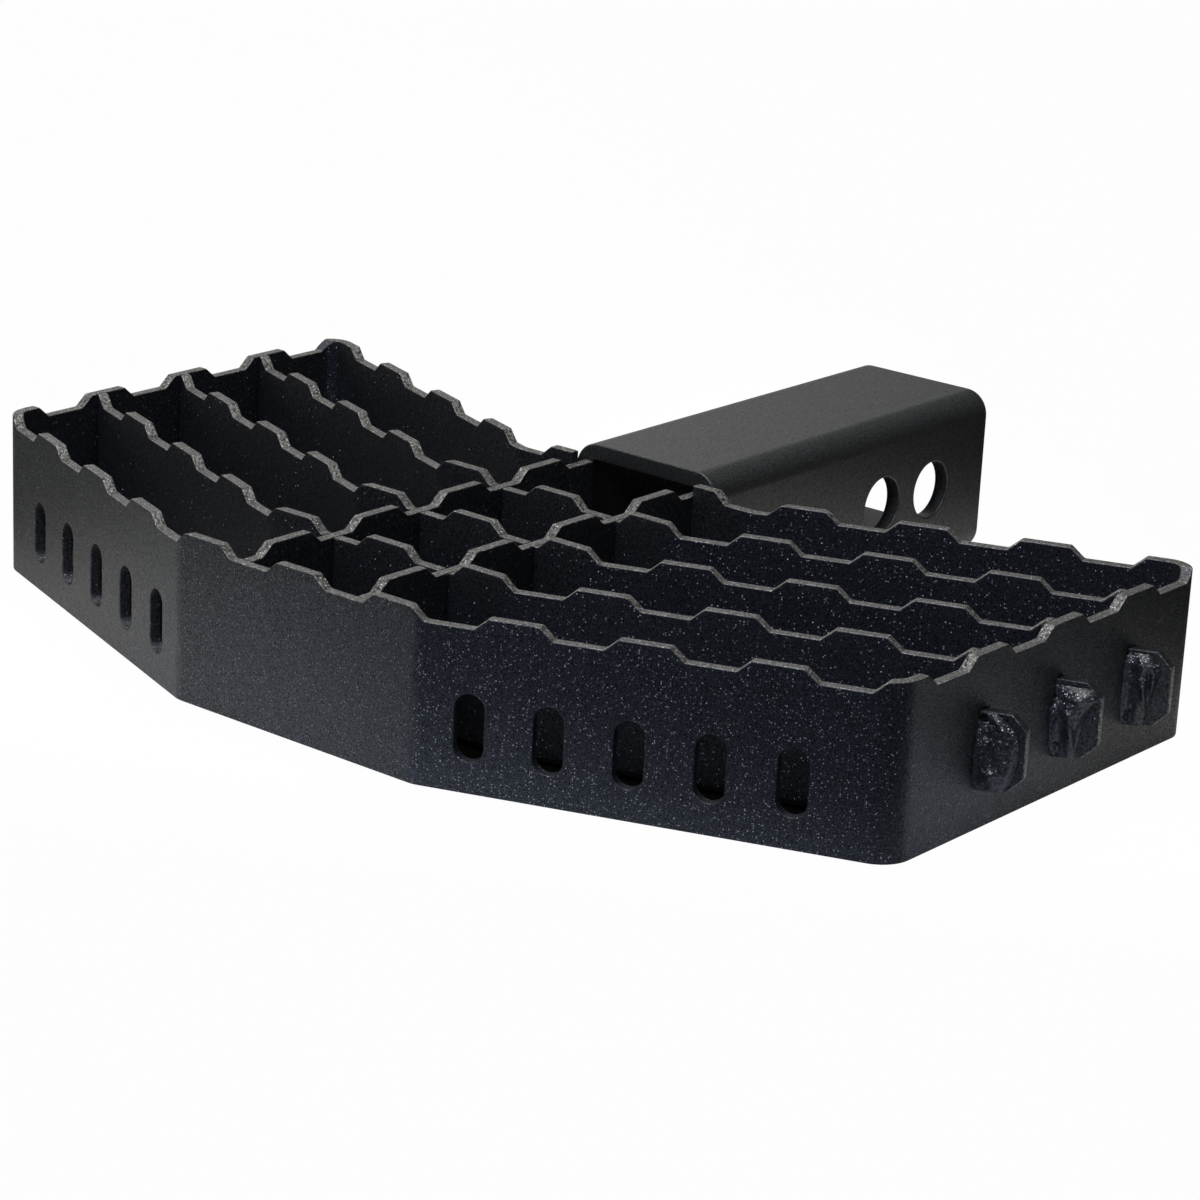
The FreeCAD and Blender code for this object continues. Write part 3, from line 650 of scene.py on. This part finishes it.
@dataclass
class TabBeads:
    """The six beads that hold the bars' tabs to the end plates.

    Attributes:
        plate_face: X of an end plate's outer face.
        first_row: Y of the first bar's front face at that plate.
        row_spacing: Distance from bar to bar.
        foot: Z of a tab's lower edge.
        row_seed: Shift of the lumps from bar to bar.
        left_seed: Shift of the lumps from the right side to the left.
    """

    plate_face: float = 159.3 * MM
    first_row: float = -172.584 * MM
    row_spacing: float = 33.9 * MM
    foot: float = -11.8 * MM
    row_seed: float = 3.7
    left_seed: float = 21.3

    def build(self) -> list[bpy.types.Object]:
        """Makes the beads of both sides."""
        beads = []
        for side in Side:
            side_seed = 0.0 if side is Side.RIGHT else self.left_seed
            for index, (rows, swells) in enumerate(zip(TAB_BEAD_ROWS, TAB_BEAD_SWELLS)):
                y = self.first_row + index * self.row_spacing
                beads.append(WeldBead(
                    node=f"tab_weld_{side.name.lower()}_{index + 1}",
                    corner=Vector((side.value * self.plate_face, y, self.foot)),
                    plate_way=Vector((0.0, -1.0, 0.0)),
                    tab_way=Vector((side.value * WING_WAY.x, WING_WAY.y, 0.0)),
                    rows=rows, swells=swells, seed=self.row_seed * index + side_seed).build())
        return beads


@dataclass
class ShankBeads:
    """The two upright beads between the frame's rear ends and the shank.

    Attributes:
        shank_face: X of the shank's side.
        plate_face: Y of the rear strip's back face.
        foot: Z of the beads' lower ends.
        seed: Shift of the lumps, half way between the two beads'.
        ripple: Height of the ripples in millimetres.
        skew: One, so that the crown stands half way between the two faces.
        along: Steps of the skin from the lower end to the upper.
    """

    shank_face: float = 25.4 * MM
    plate_face: float = -111.2 * MM
    foot: float = -17.0 * MM
    seed: float = 50.0
    ripple: float = 0.3
    skew: float = 1.0
    along: int = 130

    def build(self) -> list[bpy.types.Object]:
        """Makes both beads."""
        beads = []
        for side in Side:
            beads.append(WeldBead(
                node=f"shank_weld_{side.name.lower()}",
                corner=Vector((side.value * self.shank_face, self.plate_face, self.foot)),
                plate_way=Vector((side.value, 0.0, 0.0)), tab_way=Vector((0.0, 1.0, 0.0)),
                rows=SHANK_BEAD_ROWS, swells=(), seed=self.seed + side.value,
                ripple=self.ripple, skew=self.skew, along=self.along).build())
        return beads


@dataclass(frozen=True)
class PoolEdge:
    """A way in which the painted pool of light on the paper round the step fades.

    Attributes:
        way: The way along the floor.
        start: Distance from the origin that way at which the fade starts, in metres.
        end: Distance at which it ends.
        left: Share of the light that is left there.
    """

    way: tuple[float, float, float]
    start: float
    end: float
    left: float


@dataclass(frozen=True)
class PaintedPaperShade:
    """A soft-edged painted shade on the paper under the lattice, in millimetres.

    Attributes:
        swept: Where it starts, is full, stays full to and ends, along Y less the wings' sweep.
        across: The same along X.
        lit: Share of the paper's colour, its painted light, that is left.
        white: Share of the plain white that is left.
    """

    swept: tuple[float, float, float, float]
    across: tuple[float, float, float, float]
    lit: float
    white: float


@dataclass(frozen=True)
class RoomGlow:
    """A soft glow of the room's wall or ceiling.

    Attributes:
        way: The way towards its middle.
        gain: Strength in its middle.
        rim: Cosine of the angle from its middle at which it has faded out.
    """

    way: tuple[float, float, float]
    gain: float
    rim: float


@dataclass(frozen=True)
class SoftBox:
    """A square lamp behind white cloth, turned towards the step.

    Attributes:
        name: Its object's name.
        place: Its middle.
        size: Its width in metres.
        power: Its power in watts.
        colour: Its colour.
    """

    name: str
    place: tuple[float, float, float]
    size: float
    power: float
    colour: str


# Painted pool of light on the paper, fading in front and to the right of the step,
# behind it, in front of it, and to its left
PAINTED_POOL_EDGES = (
    PoolEdge((0.5, -0.87, 0.0), 0.225, 0.30, 0.02),
    PoolEdge((0.6, 0.8, 0.0), 0.015, 0.12, 0.04),
    PoolEdge((-0.3, -0.95, 0.0), 0.25, 0.45, 0.25),
    PoolEdge((-1.0, 0.0, 0.0), 0.125, 0.22, 0.2))

# Painted shade on the paper under the lattice, darkest behind the windows by the first bar's foot
PAINTED_PAPER_SHADES = (
    PaintedPaperShade((-243.0, -233.0, -127.0, -117.0), (-156.0, -146.0, 142.0, 152.0), 0.04, 0.55),
    PaintedPaperShade((-238.0, -233.0, -208.0, -196.0), (-170.0, -165.0, 146.0, 152.0), 0.1, 0.0))

# Low to the left and behind, overhead, and to the left in front
ROOM_GLOWS = (
    RoomGlow((-0.88, 0.35, 0.33), 0.86, 0.725),
    RoomGlow((0.0, 0.0, 1.0), 0.25, 0.3),
    RoomGlow((-0.8, -0.5, 0.3), 0.08, 0.3))

SOFT_BOXES = (
    SoftBox("top_box", (-0.05, -0.3, 1.3), 1.0, 16.0, "ffffff"),
    SoftBox("left_box", (-1.3, -0.7, 0.7), 0.9, 1.8, "fff8ee"),
    SoftBox("front_box", (0.3, -1.3, 1.1), 0.3, 8.0, "dbe6ff"))


@dataclass
class Studio:
    """White sweep, soft lights and the camera.

    Attributes:
        floor_height: Z of the floor, under the shank.
        azimuth: Camera's way round from the step's front, towards its right.
        elevation: Camera's height above the horizon.
        roll: Camera's turn about its own axis.
        place: Camera's position.
        focal_length: Lens in millimetres.
        sensor: Sensor's width in millimetres.
        shift: Lens shift, as shares of the frame.
        clip: Nearest and farthest distance that the camera sees.
        floor_reach: Half the floor's width.
        warm_paper: Colour of the paper beside the step, a painted warm light.
        cool_paper: Colour of the paper in front of it, a painted cooler light.
        cool_from: Distance along the first pool edge's way at which the paper starts to cool.
        cool_to: Distance at which it has cooled.
        paper_white: Share of plain white that the camera sees in the open paper.
        room_dim: Strength of the room between its glows.
        aim: The place that the soft boxes face.
    """

    floor_height: float = -25.4 * MM
    azimuth: float = math.radians(39.718)
    elevation: float = math.radians(18.383)
    roll: float = math.radians(-2.511)
    place: Vector = field(default_factory=lambda: Vector((0.60475, -0.87665, 0.30737)))
    focal_length: float = 107.671
    sensor: float = 36.0
    shift: tuple[float, float] = (0.0433, -0.0021)
    clip: tuple[float, float] = (0.01, 50.0)
    floor_reach: float = 6.0
    warm_paper: str = "e9e6e0"
    cool_paper: str = "dde4f2"
    cool_from: float = 0.15
    cool_to: float = 0.25
    paper_white: float = 0.985
    room_dim: float = 0.03
    aim: Vector = field(default_factory=lambda: Vector((0.0, -0.15, 0.0)))

    def build(self) -> None:
        """Sets up the whole studio."""
        self.add_camera()
        self.add_floor()
        self.add_world()
        self.add_lights()
        bpy.context.scene.view_settings.view_transform = "Standard"

    def add_camera(self) -> None:
        """Stands the camera where the photograph's was."""
        forwards = Vector((-math.sin(self.azimuth) * math.cos(self.elevation),
                           math.cos(self.azimuth) * math.cos(self.elevation),
                           -math.sin(self.elevation)))
        right = forwards.cross(Vector((0.0, 0.0, 1.0))).normalized()
        down = forwards.cross(right)
        right, down = (right * math.cos(self.roll) + down * math.sin(self.roll),
                       down * math.cos(self.roll) - right * math.sin(self.roll))
        turn = Matrix((right, -down, -forwards)).transposed()
        lens = bpy.data.cameras.new("camera")
        lens.sensor_width = self.sensor
        lens.lens = self.focal_length
        lens.shift_x, lens.shift_y = self.shift
        lens.clip_start, lens.clip_end = self.clip
        camera = bpy.data.objects.new("camera", lens)
        camera.matrix_world = Matrix.Translation(self.place) @ turn.to_4x4()
        bpy.context.scene.collection.objects.link(camera)
        bpy.context.scene.camera = camera

    def add_floor(self) -> None:
        """Lays the pale floor, white to the camera but for the step's painted shade and shadow."""
        sheet = bmesh.new()
        bmesh.ops.create_grid(sheet, x_segments=1, y_segments=1, size=self.floor_reach)
        bmesh.ops.translate(sheet, verts=sheet.verts, vec=(0.0, 0.0, self.floor_height))
        mesh = bpy.data.meshes.new("floor")
        sheet.to_mesh(mesh)
        sheet.free()
        mesh.materials.append(self.paper())
        floor = bpy.data.objects.new("floor", mesh)
        bpy.context.scene.collection.objects.link(floor)

    def paper(self) -> bpy.types.Material:
        """Builds the floor's matt white paper, with painted light, tint and shade, and returns it.
        """
        made = bpy.data.materials.new("white_paper_floor")
        made.use_nodes = True
        tree = made.node_tree
        tree.nodes.clear()
        camera_ray = add_node(tree, "ShaderNodeLightPath").outputs["Is Camera Ray"]
        place = add_node(tree, "ShaderNodeTexCoord").outputs["Object"]
        # Painted light colour: the paper's tint turns cooler in front of the step
        ahead = add_node(tree, "ShaderNodeVectorMath",
                         {0: place, 1: PAINTED_POOL_EDGES[0].way}, operation="DOT_PRODUCT")
        cool = add_node(tree, "ShaderNodeMapRange",
                        {"Value": ahead.outputs["Value"], "From Min": self.cool_from,
                         "From Max": self.cool_to})
        tint = add_node(tree, "ShaderNodeMix",
                        {"Factor": cool.outputs["Result"],
                         4: linear_colour(self.warm_paper)[:3],
                         5: linear_colour(self.cool_paper)[:3]}, data_type="VECTOR")
        lit = self.paint_light_pool(tree, place)
        white = self.paper_white
        # Painted shade under the lattice darkens both the lit paper and the white that the camera
        # sees
        for shade, inside in self.painted_shade_places(tree, place):
            left_lit = add_node(tree, "ShaderNodeMapRange",
                                {"Value": inside, "To Min": 1.0, "To Max": shade.lit})
            lit = add_node(tree, "ShaderNodeMath", {0: left_lit.outputs["Result"], 1: lit},
                           operation="MULTIPLY").outputs[0]
            left_white = add_node(tree, "ShaderNodeMapRange",
                                  {"Value": inside, "To Min": 1.0, "To Max": shade.white})
            white = add_node(tree, "ShaderNodeMath", {0: left_white.outputs["Result"], 1: white},
                             operation="MULTIPLY").outputs[0]
        pale = add_node(tree, "ShaderNodeVectorMath", {0: tint.outputs[1], "Scale": lit},
                        operation="SCALE")
        matt = add_node(tree, "ShaderNodeBsdfDiffuse", {"Color": pale.outputs[0]})
        plain = add_node(tree, "ShaderNodeEmission", {"Color": WHITE, "Strength": 1.0})
        amount = add_node(tree, "ShaderNodeMath", {0: camera_ray, 1: white},
                          operation="MULTIPLY")
        both = add_node(tree, "ShaderNodeMixShader",
                        {"Fac": amount.outputs[0], 1: matt.outputs[0], 2: plain.outputs[0]})
        add_node(tree, "ShaderNodeOutputMaterial", {"Surface": both.outputs[0]})
        return made

    def paint_light_pool(self, tree: bpy.types.NodeTree,
                 place: bpy.types.NodeSocket) -> bpy.types.NodeSocket:
        """Paints a pool of light on the paper round the step, its colour fading away from it.

        Args:
            tree: The paper's node tree.
            place: The socket that gives the place on the floor.

        Returns:
            The socket that gives the share of the paper's light at that place.
        """
        lit = 1.0
        for edge in PAINTED_POOL_EDGES:
            reach = add_node(tree, "ShaderNodeVectorMath", {0: place, 1: edge.way},
                             operation="DOT_PRODUCT")
            fade = add_node(tree, "ShaderNodeMapRange",
                            {"Value": reach.outputs["Value"], "From Min": edge.start,
                             "From Max": edge.end, "To Min": 1.0, "To Max": edge.left},
                            interpolation_type="SMOOTHSTEP")
            lit = add_node(tree, "ShaderNodeMath", {0: fade.outputs["Result"], 1: lit},
                           operation="MULTIPLY").outputs[0]
        return lit

    def painted_shade_places(self, tree: bpy.types.NodeTree, place: bpy.types.NodeSocket
                      ) -> list[tuple[PaintedPaperShade, bpy.types.NodeSocket]]:
        """Finds where the paper lies in the painted shades under the lattice.

        Args:
            tree: The paper's node tree.
            place: The socket that gives the place on the floor.

        Returns:
            Each shade with the socket that tells how far a place is inside it.
        """
        parts = add_node(tree, "ShaderNodeSeparateXYZ", {"Vector": place})
        aside = add_node(tree, "ShaderNodeMath", {0: parts.outputs["X"]}, operation="ABSOLUTE")
        past_bend = add_node(tree, "ShaderNodeMath", {0: aside.outputs[0], 1: BEND_ASIDE},
                             operation="SUBTRACT")
        wing = add_node(tree, "ShaderNodeMath", {0: past_bend.outputs[0], 1: 0.0},
                        operation="MAXIMUM")
        swept = add_node(tree, "ShaderNodeMath",
                         {0: wing.outputs[0], 1: -math.tan(WING_ANGLE), 2: parts.outputs["Y"]},
                         operation="MULTIPLY_ADD")
        places = []
        for shade in PAINTED_PAPER_SHADES:
            inside = 1.0
            for reach, (start, full, full_to, end) in (
                    (swept.outputs[0], shade.swept), (parts.outputs["X"], shade.across)):
                for low, high in ((start, full), (end, full_to)):
                    soft = add_node(tree, "ShaderNodeMapRange",
                                    {"Value": reach, "From Min": low * MM,
                                     "From Max": high * MM}, interpolation_type="SMOOTHSTEP")
                    inside = add_node(tree, "ShaderNodeMath",
                                      {0: soft.outputs["Result"], 1: inside},
                                      operation="MULTIPLY").outputs[0]
            places.append((shade, inside))
        return places

    def add_world(self) -> None:
        """Surrounds the step with a dim room that glows softly behind it, overhead and aside."""
        world = bpy.data.worlds.new("studio")
        bpy.context.scene.world = world
        world.use_nodes = True
        tree = world.node_tree
        tree.nodes.clear()
        way = add_node(tree, "ShaderNodeTexCoord").outputs["Generated"]
        total = self.room_dim
        for room_glow in ROOM_GLOWS:
            facing = add_node(tree, "ShaderNodeVectorMath",
                              {0: way, 1: Vector(room_glow.way).normalized()},
                              operation="DOT_PRODUCT")
            glow = add_node(tree, "ShaderNodeMapRange",
                            {"Value": facing.outputs["Value"], "From Min": room_glow.rim,
                             "From Max": 1.0, "To Min": 0.0, "To Max": room_glow.gain},
                            interpolation_type="SMOOTHSTEP")
            total = add_node(tree, "ShaderNodeMath", {0: glow.outputs["Result"], 1: total},
                             operation="ADD").outputs[0]
        camera_ray = add_node(tree, "ShaderNodeLightPath").outputs["Is Camera Ray"]
        level = add_node(tree, "ShaderNodeMix",
                         {"Factor": camera_ray, 2: total, 3: 1.0}, data_type="FLOAT")
        sky = add_node(tree, "ShaderNodeBackground",
                       {"Color": WHITE, "Strength": level.outputs[0]})
        add_node(tree, "ShaderNodeOutputWorld", {"Surface": sky.outputs[0]})

    def add_lights(self) -> None:
        """Hangs the soft boxes and turns them towards the step."""
        for box in SOFT_BOXES:
            data = bpy.data.lights.new(box.name, "AREA")
            data.shape = "SQUARE"
            data.size = box.size
            data.energy = box.power
            data.color = linear_colour(box.colour)[:3]
            lamp = bpy.data.objects.new(box.name, data)
            lamp.location = box.place
            lamp.rotation_mode = "QUATERNION"
            lamp.rotation_quaternion = (self.aim - Vector(box.place)).to_track_quat("-Z", "Y")
            bpy.context.scene.collection.objects.link(lamp)


def main() -> None:
    """Builds the step's looks and its studio."""
    logging.basicConfig(level=logging.INFO, format="%(message)s")
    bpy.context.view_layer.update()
    for sub_assembly in (TreadLattice(), Shank(), TabBeads(), ShankBeads()):
        for piece in sub_assembly.build():
            LOG.info("%s: %d faces", piece.name, len(piece.data.polygons))
    Studio().build()


if __name__ == "__main__":
    main()
